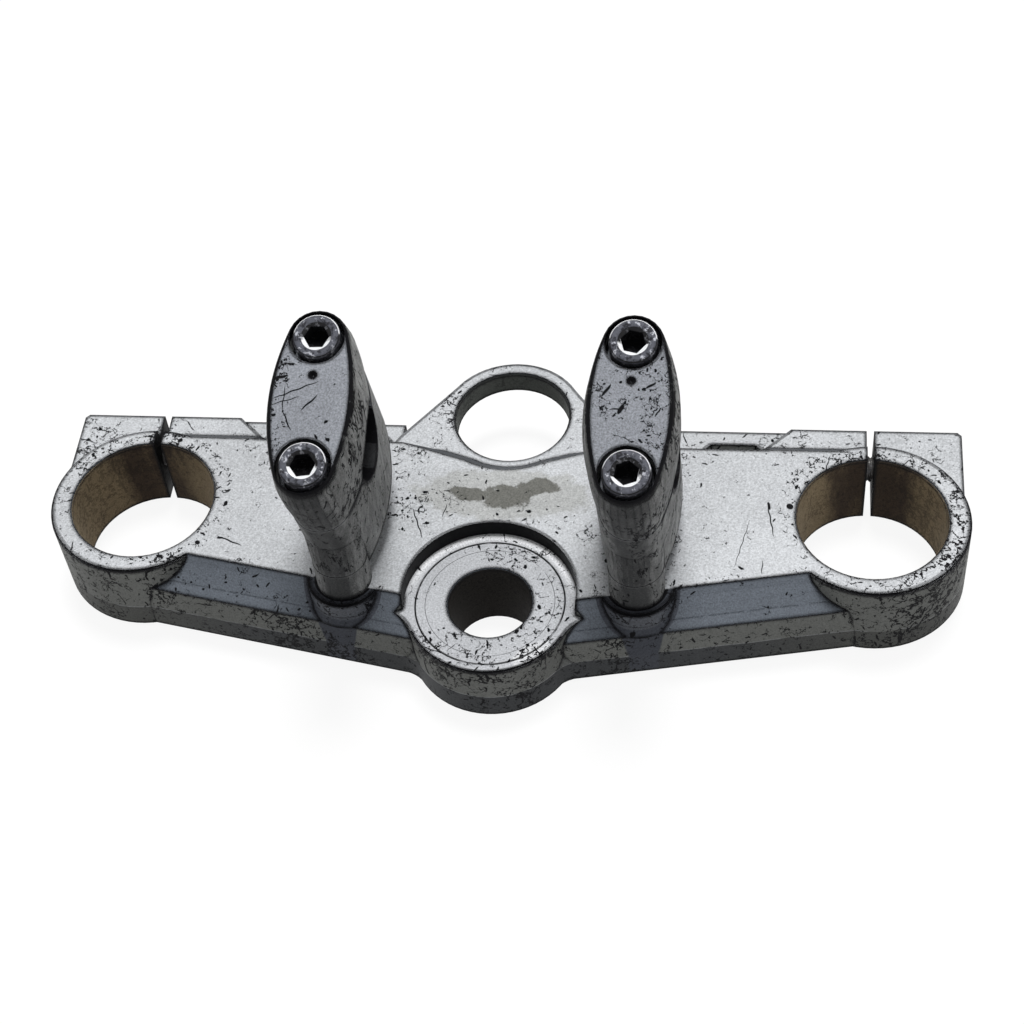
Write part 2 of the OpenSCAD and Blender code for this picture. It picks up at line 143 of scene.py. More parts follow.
# edge wear, strokes, marks, grain, turned circles, patches and cuts are shared by the finishes
def makeEdgeWear():  # edges found by comparing a rounded normal with the true one, then broken up
    group, given, result = newGroup("edgeWear", [("Radius", "Float", 0.0008), ("Amount", "Float", 0.5),
                                                 ("Scale", "Float", 300.0), ("Seed", "Float", 0.0)],
                                    [("Mask", "Float"), ("Near", "Float")])
    rounded = addNode(group, "Bevel", {"Radius": given["Radius"]}, samples=6).outputs[0]
    flat = addNode(group, "NewGeometry").outputs["Normal"]
    dot = addNode(group, "VectorMath", {0: rounded, 1: flat}, operation="DOT_PRODUCT").outputs["Value"]
    near = ramp(group, inverse(group, dot), 0.0045, 0.016)
    breakUp = noiseField(group, shifted(group, given["Seed"]), given["Scale"], 4.0, 0.68)[0]
    breakUp = ramp(group, breakUp, 0.30, 0.70)
    cover = calc(group, "ADD", near, product(group, breakUp, 0.8))
    limit = calc(group, "SUBTRACT", 1.6, given["Amount"])
    mask = ramp(group, calc(group, "SUBTRACT", cover, limit), 0.0, 0.15)
    group.links.new(product(group, mask, ramp(group, near, 0.02, 0.15)), result["Mask"])
    group.links.new(near, result["Near"])
    return group


def makeStrokes():  # single straight nicks and scratches, one to a cell, turned at random
    group, given, result = newGroup("strokes", [("Vector", "Vector", (0.0, 0.0, 0.0)),
                                                ("Scale", "Float", 120.0), ("Length", "Float", 0.003),
                                                ("Width", "Float", 0.00016), ("Amount", "Float", 0.5),
                                                ("Axis", "Vector", (0.2, -0.5, 0.85))],
                                    [("Mask", "Float")])
    layout = {"Vector": given["Vector"], "Scale": given["Scale"], "Randomness": 1.0}
    cells = addNode(group, "TexVoronoi", layout).outputs
    local = addNode(group, "VectorMath", {0: given["Vector"], 1: cells["Position"]},
                    operation="SUBTRACT").outputs[0]
    dice = addNode(group, "SeparateColor", {0: cells["Color"]}).outputs
    turn = product(group, dice[0], math.tau)
    local = addNode(group, "VectorRotate", {"Vector": local, "Axis": given["Axis"], "Angle": turn}).outputs[0]
    part = addNode(group, "SeparateXYZ", {0: local}).outputs
    reach = product(group, given["Length"], ramp(group, dice[1], 0.0, 1.0, 0.3, 1.0))
    along = calc(group, "DIVIDE", size(group, part[0]), reach)
    taper = product(group, given["Width"], ramp(group, along, 1.0, 0.35))  # they run out to a point
    across = calc(group, "DIVIDE", size(group, part[1]), taper)
    line = product(group, ramp(group, across, 1.25, 0.75), ramp(group, along, 1.0, 0.9))
    kept = calc(group, "LESS_THAN", dice[2], given["Amount"])
    group.links.new(product(group, line, kept), result["Mask"])
    return group


def makeMarks(strokeGroup):  # scratches, nicks, crazing and specks, gathered in patches
    group, given, result = newGroup("marks", [("Amount", "Float", 0.5), ("Crowding", "Float", 0.0),
                                              ("Stretch", "Vector", (1.0, 1.0, 1.0)), ("Seed", "Float", 0.0)],
                                    [("Mask", "Float"), ("Crowd", "Float")])
    coords = shifted(group, given["Seed"])
    wide = noiseField(group, coords, 42.0, 2.0)[0]
    crowd = calc(group, "ADD", ramp(group, wide, 0.48, 0.66), given["Crowding"])
    level = product(group, crowd, given["Amount"])
    drawn = addNode(group, "VectorMath", {0: coords, 1: given["Stretch"]}, operation="MULTIPLY").outputs[0]
    colour = noiseField(group, drawn, 230.0, 4.0, 0.62)[1]
    fine = addNode(group, "SeparateColor", {0: colour}).outputs
    # crazing is the thin contour line of one noise, kept where a second one is high
    contour = gap(group, fine[0], 0.5)
    contour = product(group, contour, ramp(group, level, 0.7, 1.7, 1.0, 0.42))  # wider lines in a crowd
    contour = ramp(group, contour, 0.018, 0.008)
    kept = ramp(group, calc(group, "ADD", fine[1], product(group, level, 0.17)), 0.62, 0.66)
    crazing = product(group, contour, kept)
    dust = noiseField(group, drawn, 640.0, 3.0, 0.6)[0]
    specks = ramp(group, calc(group, "ADD", dust, product(group, level, 0.08)), 0.72, 0.745)
    # strokes lie on slightly wavy coordinates
    wave = addNode(group, "VectorMath", {0: colour, "Scale": 0.0020}, operation="SCALE").outputs[0]
    bent = addNode(group, "VectorMath", {0: coords, 1: wave}, operation="ADD").outputs[0]
    scratch = place(group, strokeGroup, vector=bent, scale=95.0, length=0.0042, width=0.00018,
                    amount=product(group, level, 0.50))["Mask"]
    nick = place(group, strokeGroup, vector=bent, scale=330.0, length=0.0011, width=0.00027,
                 amount=product(group, level, 0.40))["Mask"]
    group.links.new(largest(group, crazing, specks, scratch, nick), result["Mask"])
    group.links.new(crowd, result["Crowd"])
    return group


def makeGrain():  # metal flake and orange peel of the paint
    group, given, result = newGroup("grain", [("Scale", "Float", 1800.0), ("Contrast", "Float", 0.2),
                                              ("Seed", "Float", 0.0)],
                                    [("Tone", "Float"), ("Height", "Float")])
    coords = shifted(group, given["Seed"])
    fine = noiseField(group, coords, given["Scale"], 1.0, 0.7)[0]
    broad = noiseField(group, coords, 26.0, 3.0, 0.6)[0]
    swing = calc(group, "ADD", calc(group, "SUBTRACT", fine, 0.5),
                 product(group, calc(group, "SUBTRACT", broad, 0.5), 0.45))
    tone = calc(group, "ADD", 1.0, product(group, swing, given["Contrast"]))
    group.links.new(tone, result["Tone"])
    group.links.new(fine, result["Height"])
    return group


def makeTurned():  # distance from an upright axis
    group, given, result = newGroup("turned", [("Centre", "Vector", (0.0, 0.0, 0.0))],
                                    [("Distance", "Float")])
    coords = addNode(group, "TexCoord").outputs["Object"]
    away = addNode(group, "VectorMath", {0: coords, 1: given["Centre"]}, operation="SUBTRACT").outputs[0]
    away = addNode(group, "VectorMath", {0: away, 1: (1, 1, 0)}, operation="MULTIPLY").outputs[0]
    distance = addNode(group, "VectorMath", {0: away}, operation="LENGTH").outputs["Value"]
    group.links.new(distance, result["Distance"])
    return group


def makePatch():  # a ragged worn or stained oval
    group, given, result = newGroup("patch", [("Centre", "Vector", (0.0, 0.0, 0.0)), ("Turn", "Float", 0.0),
                                              ("Size", "Vector", (0.01, 0.005, 0.01)),
                                              ("Ragged", "Float", 0.5), ("Scale", "Float", 160.0)],
                                    [("Mask", "Float")])
    coords = addNode(group, "TexCoord").outputs["Object"]
    away = addNode(group, "VectorMath", {0: coords, 1: given["Centre"]}, operation="SUBTRACT").outputs[0]
    away = addNode(group, "VectorRotate", {"Vector": away, "Angle": given["Turn"]},
                   rotation_type="Z_AXIS").outputs[0]
    away = addNode(group, "VectorMath", {0: away, 1: given["Size"]}, operation="DIVIDE").outputs[0]
    distance = addNode(group, "VectorMath", {0: away}, operation="LENGTH").outputs["Value"]
    rough = noiseField(group, coords, given["Scale"], 4.0, 0.7)[0]
    rough = product(group, calc(group, "SUBTRACT", rough, 0.5), given["Ragged"])
    distance = calc(group, "ADD", distance, product(group, rough, 4.0))
    group.links.new(ramp(group, distance, 1.14, 0.86), result["Mask"])
    return group


def makeCut():  # one straight cut or pit in a top face
    group, given, result = newGroup("cut", [("Centre", "Vector", (0.0, 0.0, 0.0)), ("Reach", "Float", 0.002),
                                            ("Width", "Float", 0.0002), ("Turn", "Float", 0.0)],
                                    [("Mask", "Float")])
    coords = addNode(group, "TexCoord").outputs["Object"]
    away = addNode(group, "VectorMath", {0: coords, 1: given["Centre"]}, operation="SUBTRACT").outputs[0]
    turn = product(group, given["Turn"], -1.0)
    away = addNode(group, "VectorRotate", {"Vector": away, "Angle": turn}, rotation_type="Z_AXIS").outputs[0]
    part = addNode(group, "SeparateXYZ", {0: away}).outputs
    along = calc(group, "DIVIDE", size(group, part[0]), given["Reach"])
    waver = product(group, calc(group, "SINE", product(group, part[0], 1500.0)), 0.0001)
    across = size(group, calc(group, "ADD", part[1], waver))
    taper = inverse(group, calc(group, "POWER", along, 2.0))
    taper = calc(group, "SQRT", calc(group, "MAXIMUM", taper, 0.0001))
    across = calc(group, "DIVIDE", across, product(group, given["Width"], taper))
    line = product(group, ramp(group, across, 1.25, 0.75), calc(group, "LESS_THAN", along, 1.0))
    group.links.new(line, result["Mask"])
    return group


edgeWear, strokes = makeEdgeWear(), makeStrokes()
marks, grain = makeMarks(strokes), makeGrain()
turned, patch, cut = makeTurned(), makePatch(), makeCut()
print("shared groups made")


def newMaterial(name):
    material = bpy.data.materials.new(name)
    material.use_nodes = True
    tree = material.node_tree
    return material, tree, tree.nodes["Principled BSDF"]


def finishSurface(tree, shader, colour, roughness, height, strength):
    bump = addNode(tree, "Bump", {"Height": height, "Strength": strength, "Distance": 0.0001})
    tree.links.new(bump.outputs[0], shader.inputs["Normal"])
    tree.links.new(colour, shader.inputs["Base Color"])
    tree.links.new(roughness, shader.inputs["Roughness"])


def nearest(tree, axes):  # distance from the nearer of two upright axes
    return calc(tree, "MINIMUM", *(place(tree, turned, centre=axis)["Distance"] for axis in axes))


def singleCuts(tree, cuts):  # each one is its middle, half length, half width and turn
    placed = (place(tree, cut, centre=(*centre, 0.0), reach=reach, width=width, turn=turn)
              for centre, reach, width, turn in cuts)
    return largest(tree, *(single["Mask"] for single in placed))


yokeLook = {
    "topColour": (0.550, 0.565, 0.585, 1), "wallShadeColour": (0.240, 0.246, 0.232, 1),
    "lowerWallShade": (0.072, 0.076, 0.080, 1), "lowerRingShade": (0.125, 0.128, 0.120, 1),
    "pocketShadeColour": (0.165, 0.186, 0.216, 1), "shoulderShadeColour": (0.050, 0.054, 0.060, 1),
    "recessShadeColour": (0.002, 0.002, 0.0025, 1), "deepShadeColour": (0.010, 0.010, 0.010, 1),
    "boreColour": (0.400, 0.315, 0.200, 1), "boreStain": (0.085, 0.062, 0.045, 1),
    "stemBoreShadeColour": (0.042, 0.038, 0.034, 1), "keyBoreColour": (0.150, 0.160, 0.148, 1),
    "faceColour": (0.500, 0.512, 0.535, 1), "rimPaintedLightColour": (0.95, 0.96, 0.98, 1),
    "partingHighlightColour": (0.34, 0.35, 0.35, 1), "highlightColour": (0.80, 0.81, 0.82, 1),
    "chipAndShadeColour": (0.004, 0.004, 0.005, 1), "bareColour": (0.125, 0.125, 0.111, 1),
    "seatShadeColour": (0.085, 0.092, 0.110, 1), "seatArcHighlightColour": (0.150, 0.160, 0.180, 1),
    "metallic": 0.1, "specular": 0.08, "partingHeight": 0.0111, "plateHeight": 0.0288,
    "stemAxis": (0.0, 0.0, 0.0), "stemBore": 0.0120, "keyAxis": (0.0, 0.070, 0.0), "keyBore": 0.0175,
    "forkAxes": ((-0.1086, 0.0305, 0.0), (0.1086, 0.0305, 0.0)), "forkBore": 0.0215,
    "keyBoreHeights": (0.0225, 0.0272), "ringOuter": 0.0276, "slotWidth": 0.0011, "slotFrom": 0.050,
    "shoulderFrom": 0.045, "wingFrom": 0.049, "recessRadius": 0.0256, "recessFloor": 0.0234,
    # the boss: its turned face, the rim behind painted lighter as painted light, and the two turned circles
    # with their half widths
    "bossRadius": 0.0250, "chipFree": 0.0235, "boreRim": 0.0138, "paintedRimLightRadii": (0.0217, 0.0243),
    "turnedCircles": ((0.0188, 0.00010), (0.0217, 0.00034)),
    "chipsAndGlintAt": (0.0135, -0.0170, 0.0234), "chipsAndGlintSize": (0.0055, 0.0026, 0.01), "chipsAndGlintTurn": -0.68,
    # the riser feet and their seats
    "footAxes": ((-0.04235, 0.0035, 0.0), (0.04235, 0.0035, 0.0)), "footRadius": 0.0080,
    "seatRadius": 0.0122, "seatArcRadius": 0.0105, "frontTurn": 10.6, "plateFront": 0.0066,
    # grain, chipped edges and marks, with how much thicker the marks lie on each place
    "grain": {"scale": 2100.0, "contrast": 1.15}, "marks": {"amount": 1.0, "seed": 1.3},
    "edges": {"radius": 0.0018, "amount": 1.12, "scale": 330.0, "seed": 2.0},
    "crowding": {"top": 0.10, "ring": 0.60, "wall": 0.70, "pocket": -0.35, "chipsAndGlint": 0.90, "wing": 0.30,
                 "ringWall": 0.45},
    # single cuts and pits in the top: middle, half length, half width, turn
    "cuts": (((-0.0790, 0.0155), 0.0045, 0.00025, -0.4), ((-0.0820, 0.0165), 0.0010, 0.00040, 0.2),
             ((0.0795, 0.0290), 0.0065, 0.00020, -1.4), ((0.0790, 0.0340), 0.0015, 0.00040, -1.3),
             ((0.0775, 0.0115), 0.0025, 0.00015, -1.6), ((0.0715, 0.0195), 0.0085, 0.00012, -1.8),
             ((-0.0235, 0.0240), 0.0060, 0.00020, -1.2), ((-0.0160, 0.0290), 0.0025, 0.00015, 1.4),
             ((0.0850, 0.0340), 0.0010, 0.00110, 0.0), ((-0.0885, 0.0145), 0.0008, 0.00080, 0.0)),
    # the bare patch behind the stem: middle, half lengths and turn of each oval
    "stainedAt": (0.0, 0.0360, 0.0288), "stainedSize": (0.025, 0.0100, 0.01),
    "stainedColour": (0.30, 0.30, 0.27, 1),
    "wornOvals": (((-0.0095, 0.0357, 0.0288), (0.0075, 0.0026, 0.01), 0.24),
                  ((0.0015, 0.0348, 0.0288), (0.0075, 0.0050, 0.01), 0.1),
                  ((0.0108, 0.0388, 0.0288), (0.0066, 0.0033, 0.01), -0.1)),
}


def makeYokePaint(v):
    material, tree, shader = newMaterial("wornSilverPaint")
    facing = addNode(tree, "SeparateXYZ", {0: addNode(tree, "NewGeometry").outputs["Normal"]}).outputs
    coords = addNode(tree, "TexCoord").outputs["Object"]
    spot = addNode(tree, "SeparateXYZ", {0: coords}).outputs
    up = facing[2]
    isTop = ramp(tree, up, 0.88, 0.95)
    isSlope = product(tree, ramp(tree, up, 0.25, 0.40), inverse(tree, isTop))
    isWall = inverse(tree, largest(tree, isTop, isSlope))
    sideways, fromMiddle = size(tree, facing[0]), size(tree, spot[0])
    stemDistance = place(tree, turned, centre=v["stemAxis"])["Distance"]
    forkDistance = nearest(tree, v["forkAxes"])
    keyDistance = place(tree, turned, centre=v["keyAxis"])["Distance"]
    # walls painted darker than the top as painted shade, lighter above the parting line
    slow = noiseField(tree, coords, 110.0, 3.0)[0]
    height = calc(tree, "ADD", spot[2], product(tree, calc(tree, "SUBTRACT", slow, 0.5), 0.0006))
    above = beyond(tree, height, v["partingHeight"], 0.0001)
    lower = blend(tree, ramp(tree, fromMiddle, 0.060, 0.110), v["lowerWallShade"], v["lowerRingShade"])
    colour = blend(tree, above, lower, v["wallShadeColour"])
    # painted shade: walls facing +x painted darker still
    colour = toned(tree, colour, ramp(tree, facing[0], 0.1, 0.8, 1.0, 0.68))
    # painted highlight: a thin bright line along the parting line, where a ledge would catch the light
    partingHighlight = product(tree, ramp(tree, gap(tree, height, v["partingHeight"]), 0.00026, 0.00010),
                     ramp(tree, slow, 0.36, 0.48), ramp(tree, size(tree, up), 0.5, 0.3))
    colour = blend(tree, partingHighlight, colour, v["partingHighlightColour"])
    # sloping pockets painted darker as painted shade, with the flatter facets painted darker and the steeper
    # ones lighter to even out their shading; dark shoulders behind the plate, painted near black as painted
    # shade
    pocket = toned(tree, v["pocketShadeColour"][:3], ramp(tree, up, 0.45, 0.86, 1.22, 0.86))
    # painted shade: the shoulders behind the plate painted near black
    behind = ramp(tree, spot[1], v["shoulderFrom"], v["shoulderFrom"] + 0.002)
    slope = blend(tree, behind, pocket, v["shoulderShadeColour"])
    colour = blend(tree, isSlope, colour, slope)
    # painted shade: the wall of the recess round the stem boss painted near black
    recessShade = product(tree, below(tree, stemDistance, v["recessRadius"]),
                       beyond(tree, spot[2], v["recessFloor"]))
    colour = blend(tree, recessShade, colour, v["recessShadeColour"])
    # seats of the riser feet, painted dark as painted shade where they stand out in front of the plate
    footDistance = nearest(tree, v["footAxes"])
    turn = math.radians(v["frontTurn"])
    forward = calc(tree, "SUBTRACT", product(tree, fromMiddle, math.sin(turn)),
                   product(tree, spot[1], math.cos(turn)))
    shadedSeat = product(tree, ramp(tree, footDistance, v["seatRadius"] + 0.0003, v["seatRadius"]),
                     beyond(tree, forward, v["plateFront"]))
    # painted highlight: a lighter arc on each seat
    seatArc = ramp(tree, gap(tree, footDistance, v["seatArcRadius"]), 0.0004, 0.0001)
    seat = blend(tree, seatArc, v["seatShadeColour"], v["seatArcHighlightColour"])
    # painted shade: a near black contact shadow ring round each foot, in the colour of the chips
    seat = blend(tree, below(tree, footDistance, v["footRadius"] + 0.0009), seat, v["chipAndShadeColour"])
    # painted top, turned face on the boss, bare patch behind the stem
    onBoss = product(tree, ramp(tree, stemDistance, v["bossRadius"] + 0.0002, v["bossRadius"]),
                     ramp(tree, spot[2], v["plateHeight"] - 0.002, v["plateHeight"] - 0.003))
    # painted light: the rim of the boss face behind the stem painted lighter, against the shadow of the
    # recess wall
    paintedRimLight = product(tree, ramp(tree, stemDistance, *v["paintedRimLightRadii"]), ramp(tree, spot[1], 0.0, 0.014))
    face = blend(tree, paintedRimLight, v["faceColour"], v["rimPaintedLightColour"])
    # real chips and marks gather on this patch of the boss face, and it is also painted lighter as a painted
    # highlight
    chipsAndGlint = place(tree, patch, centre=v["chipsAndGlintAt"], size=v["chipsAndGlintSize"], turn=v["chipsAndGlintTurn"],
                    ragged=0.3)["Mask"]
    face = blend(tree, product(tree, chipsAndGlint, 0.5), face, v["highlightColour"])
    top = blend(tree, onBoss, v["topColour"], face)
    worn = largest(tree, *(place(tree, patch, centre=centre, size=size, turn=turn, ragged=0.50)["Mask"]
                           for centre, size, turn in v["wornOvals"]))
    stained = place(tree, patch, centre=v["stainedAt"], size=v["stainedSize"], ragged=0.35, scale=90.0)
    top = blend(tree, product(tree, stained["Mask"], 0.45), top, v["stainedColour"])
    top = blend(tree, product(tree, worn, 0.92), top, v["bareColour"])
    colour = blend(tree, isTop, colour, top)
    colour = blend(tree, shadedSeat, colour, seat)
    # bare bores, brown with dark stains, tan where they face sideways
    bores = ((stemDistance, v["stemBore"]), (keyDistance, v["keyBore"]), (forkDistance, v["forkBore"]))
    inBore = largest(tree, *(below(tree, distance, radius + 0.0003, 0.0001) for distance, radius in bores))
    streaks = addNode(tree, "Mapping", {"Vector": coords, "Scale": (1.0, 1.0, 0.35)}).outputs[0]
    tan = ramp(tree, sideways, 0.30, 0.85, -0.06, 0.22)
    stain = ramp(tree, calc(tree, "SUBTRACT", noiseField(tree, streaks, 75.0, 5.0, 0.68)[0], tan), 0.24, 0.62)
    bore = blend(tree, stain, v["boreColour"], v["boreStain"])
    # painted shade: the stem bore painted near black, and the key bore near black below its upper part
    bore = blend(tree, ramp(tree, stemDistance, 0.020, 0.015), bore, v["stemBoreShadeColour"])
    keyBore = blend(tree, ramp(tree, spot[2], *v["keyBoreHeights"]), v["keyBoreColour"], v["deepShadeColour"])
    bore = blend(tree, ramp(tree, keyDistance, 0.024, 0.020), bore, keyBore)
    colour = blend(tree, inBore, colour, bore)
    # painted shade: the pinch slots painted near black
    fromSlot = gap(tree, fromMiddle, v["forkAxes"][1][0])
    inSlot = product(tree, below(tree, fromSlot, v["slotWidth"] + 0.0002, 0.0001),
                     ramp(tree, spot[1], v["slotFrom"], v["slotFrom"] + 0.001))
    colour = blend(tree, inSlot, colour, v["deepShadeColour"])
    flake = place(tree, grain, **v["grain"])
    colour = toned(tree, colour, flake["Tone"])
    # marks: gathered on the plate, many on the rings and walls, few in the pockets
    onRing = product(tree, below(tree, forkDistance, v["ringOuter"], 0.001), isTop)
    onWing = product(tree, beyond(tree, spot[1], v["wingFrom"], 0.003), isTop)
    onRingWall = product(tree, ramp(tree, fromMiddle, 0.104, 0.118), inverse(tree, isTop))
    places = {"ring": onRing, "wall": isWall, "top": isTop, "chipsAndGlint": product(tree, chipsAndGlint, onBoss),
              "wing": onWing, "ringWall": onRingWall}
    crowding = product(tree, isSlope, v["crowding"]["pocket"])
    for placeName, mask in places.items():
        crowding = calc(tree, "ADD", crowding, product(tree, mask, v["crowding"][placeName]))
    edge = place(tree, edgeWear, **v["edges"])
    # the turned face keeps its ring bright: only its outer edge and the bore edge are chipped
    turnedFace = largest(tree, below(tree, stemDistance, v["chipFree"]), ramp(tree, spot[1], 0.0, 0.004))
    unworn = inverse(tree, product(tree, onBoss, turnedFace, beyond(tree, stemDistance, v["boreRim"])))
    scars = place(tree, marks, crowding=crowding, **v["marks"])["Mask"]
    scars = product(tree, scars, ramp(tree, inBore, 0.0, 1.0, 1.0, 0.4))
    scars = largest(tree, scars, product(tree, singleCuts(tree, v["cuts"]), isTop))
    circles = largest(tree, *(ramp(tree, gap(tree, stemDistance, radius), width, width * 0.4)
                              for radius, width in v["turnedCircles"]))
    circles = product(tree, circles, onBoss, ramp(tree, slow, 0.30, 0.46))
    # painted highlight: a bright line just inside the worn edges of the top faces
    edgeHighlight = product(tree, ramp(tree, edge["Near"], 0.01, 0.12), isTop, 0.35, inverse(tree, shadedSeat), unworn)
    colour = blend(tree, edgeHighlight, colour, v["highlightColour"])
    dark = largest(tree, scars, product(tree, edge["Mask"], unworn), circles)
    colour = blend(tree, dark, colour, v["chipAndShadeColour"])
    rough = ramp(tree, calc(tree, "ADD", dark, inBore), 0.0, 1.0, 0.50, 0.65)
    finishSurface(tree, shader, colour, rough, flake["Height"], 0.5)
    shader.inputs["Metallic"].default_value = v["metallic"]
    shader.inputs["Specular IOR Level"].default_value = v["specular"]
    return material


riserLook = {"topColour": (0.255, 0.268, 0.295, 1), "frontShadeColour": (0.066, 0.068, 0.069, 1),
             "flankShadeColour": (0.215, 0.218, 0.214, 1), "chipAndShadeColour": (0.004, 0.004, 0.005, 1),
             "highlightColour": (0.55, 0.56, 0.57, 1), "lean": 17.6, "topMiddle": (0.0, 0.0081, 0.1004),
             "jointDrop": 0.0269, "footTop": 0.0392,
             "barAxis": (0.0, 0.016113, 0.075141), "barRadius": 0.0111, "groove": (0.030, 0.031, 0.033, 1),
             "paintedGlintColour": (0.480, 0.485, 0.480, 1), "metallic": 0.1, "specular": 0.08,
             "grain": {"scale": 2100.0, "contrast": 1.50, "seed": 3.0},
             "edges": {"radius": 0.0013, "amount": 1.05, "scale": 330.0, "seed": 5.0},
             "rims": {"radius": 0.0030, "amount": 0.68, "scale": 240.0, "seed": 9.0},
             "marks": {"amount": 1.0, "stretch": (1.0, 1.0, 0.4), "seed": 4.1},
             "sideCrowding": 0.50, "outerEdge": (-0.0460, -0.0500),
             # single cuts and pits in the caps: middle, half length, half width, turn
             "cuts": (((-0.0465, 0.0110), 0.0065, 0.00020, 0.4), ((-0.0490, 0.0080), 0.0040, 0.00015, 0.3),
                      ((-0.0495, 0.0085), 0.0035, 0.00015, -1.6), ((-0.0480, 0.0025), 0.0030, 0.00020, -1.1),
                      ((-0.0425, 0.0075), 0.0030, 0.00025, 0.8), ((-0.0510, 0.0145), 0.0020, 0.00045, 0.3),
                      ((0.0360, 0.0125), 0.0020, 0.00040, 1.0), ((0.0390, 0.0075), 0.0020, 0.00020, 0.1),
                      ((0.0400, 0.0075), 0.0015, 0.00060, 1.2), ((0.0475, 0.0140), 0.0015, 0.00035, 0.6))}


def makeRiserPaint(v):
    material, tree, shader = newMaterial("wornRiserPaint")
    normal = addNode(tree, "NewGeometry").outputs["Normal"]
    facing = addNode(tree, "SeparateXYZ", {0: normal}).outputs
    coords = addNode(tree, "TexCoord").outputs["Object"]
    spot = addNode(tree, "SeparateXYZ", {0: coords}).outputs
    sideways = size(tree, facing[0])
    lean = math.radians(v["lean"])
    axis = (0.0, -math.sin(lean), math.cos(lean))
    along = addNode(tree, "VectorMath", {0: normal, 1: axis}, operation="DOT_PRODUCT").outputs["Value"]
    isTop = ramp(tree, along, 0.90, 0.97)
    # painted shade: the sides are coloured by which way they face, dark at the front, lighter on the flanks
    onFlank = ramp(tree, sideways, 0.35, 0.85)
    side = blend(tree, onFlank, v["frontShadeColour"], v["flankShadeColour"])
    # painted highlight: light streaks on the sides, mostly near the flanks
    drawn = addNode(tree, "Mapping", {"Vector": coords, "Scale": (1.0, 1.0, 0.25)}).outputs[0]
    paintedGlint = ramp(tree, noiseField(tree, drawn, 300.0, 4.0, 0.65)[0], 0.40, 0.68)
    nearFlank = ramp(tree, sideways, 0.25, 0.80, 0.10, 0.60)
    side = blend(tree, product(tree, paintedGlint, nearFlank), side, v["paintedGlintColour"])
    colour = blend(tree, isTop, side, v["topColour"])
    # painted shade: the handlebar bore painted near black
    fromBar = addNode(tree, "VectorMath", {0: coords, 1: v["barAxis"]}, operation="SUBTRACT").outputs[0]
    fromBar = addNode(tree, "VectorMath", {0: fromBar, 1: (0, 1, 1)}, operation="MULTIPLY").outputs[0]
    barDistance = addNode(tree, "VectorMath", {0: fromBar}, operation="LENGTH").outputs["Value"]
    barBoreShadeMask = below(tree, barDistance, v["barRadius"] + 0.0003, 0.0001)
    colour = blend(tree, barBoreShadeMask, colour, v["groove"])
    flake = place(tree, grain, **v["grain"])
    colour = toned(tree, colour, flake["Tone"])
    edge = place(tree, edgeWear, **v["edges"])
    rims = place(tree, edgeWear, **v["rims"])
    # the rounded rim of the caps is painted dark nearly all round
    rounded = product(tree, ramp(tree, along, 0.97, 0.93), ramp(tree, along, 0.30, 0.45))
    rim = noiseField(tree, shifted(tree, (4.0, 4.0, 4.0)), 260.0, 4.0, 0.65)[0]
    rimMask = ramp(tree, calc(tree, "ADD", product(tree, rounded, 0.5), rim), 0.86, 0.92)
    # the outer edge of the left cap is the most knocked about
    outerEdge = product(tree, ramp(tree, spot[0], *v["outerEdge"]), isTop)
    crowding = calc(tree, "ADD", product(tree, inverse(tree, isTop), v["sideCrowding"]), outerEdge)
    scars = place(tree, marks, crowding=crowding, **v["marks"])["Mask"]
    # painted highlight: a bright line just inside the worn edges
    edgeHighlight = product(tree, ramp(tree, edge["Near"], 0.01, 0.12), 0.25)
    colour = blend(tree, edgeHighlight, colour, v["highlightColour"])
    # the joint closes at the front, and the top of the round foot hardly shows
    fromTop = addNode(tree, "VectorMath", {0: coords, 1: v["topMiddle"]}, operation="SUBTRACT").outputs[0]
    depth = addNode(tree, "VectorMath", {0: fromTop, 1: axis}, operation="DOT_PRODUCT").outputs["Value"]
    atJoint = ramp(tree, gap(tree, depth, -v["jointDrop"]), 0.0022, 0.0014)
    atFoot = ramp(tree, gap(tree, spot[2], v["footTop"]), 0.0022, 0.0014)
    spared = product(tree, largest(tree, atJoint, atFoot), ramp(tree, facing[1], -0.30, -0.55))
    wide = product(tree, rims["Mask"], inverse(tree, isTop))
    worn = product(tree, largest(tree, edge["Mask"], wide), inverse(tree, spared))
    dark = largest(tree, scars, worn, rimMask, product(tree, singleCuts(tree, v["cuts"]), isTop))
    colour = blend(tree, dark, colour, v["chipAndShadeColour"])
    rough = ramp(tree, dark, 0.0, 1.0, 0.55, 0.7)
    finishSurface(tree, shader, colour, rough, flake["Height"], 0.5)
    shader.inputs["Metallic"].default_value = v["metallic"]
    shader.inputs["Specular IOR Level"].default_value = v["specular"]
    return material


boltLook = {"faceColour": (0.070, 0.073, 0.088, 1), "highlightColour": (0.92, 0.93, 0.95, 1),
            "socketShadeColour": (0.006, 0.006, 0.007, 1), "threadColour": (0.20, 0.195, 0.19, 1),
            "stainColour": (0.018, 0.018, 0.022, 1), "fleckColour": (0.42, 0.43, 0.47, 1)}


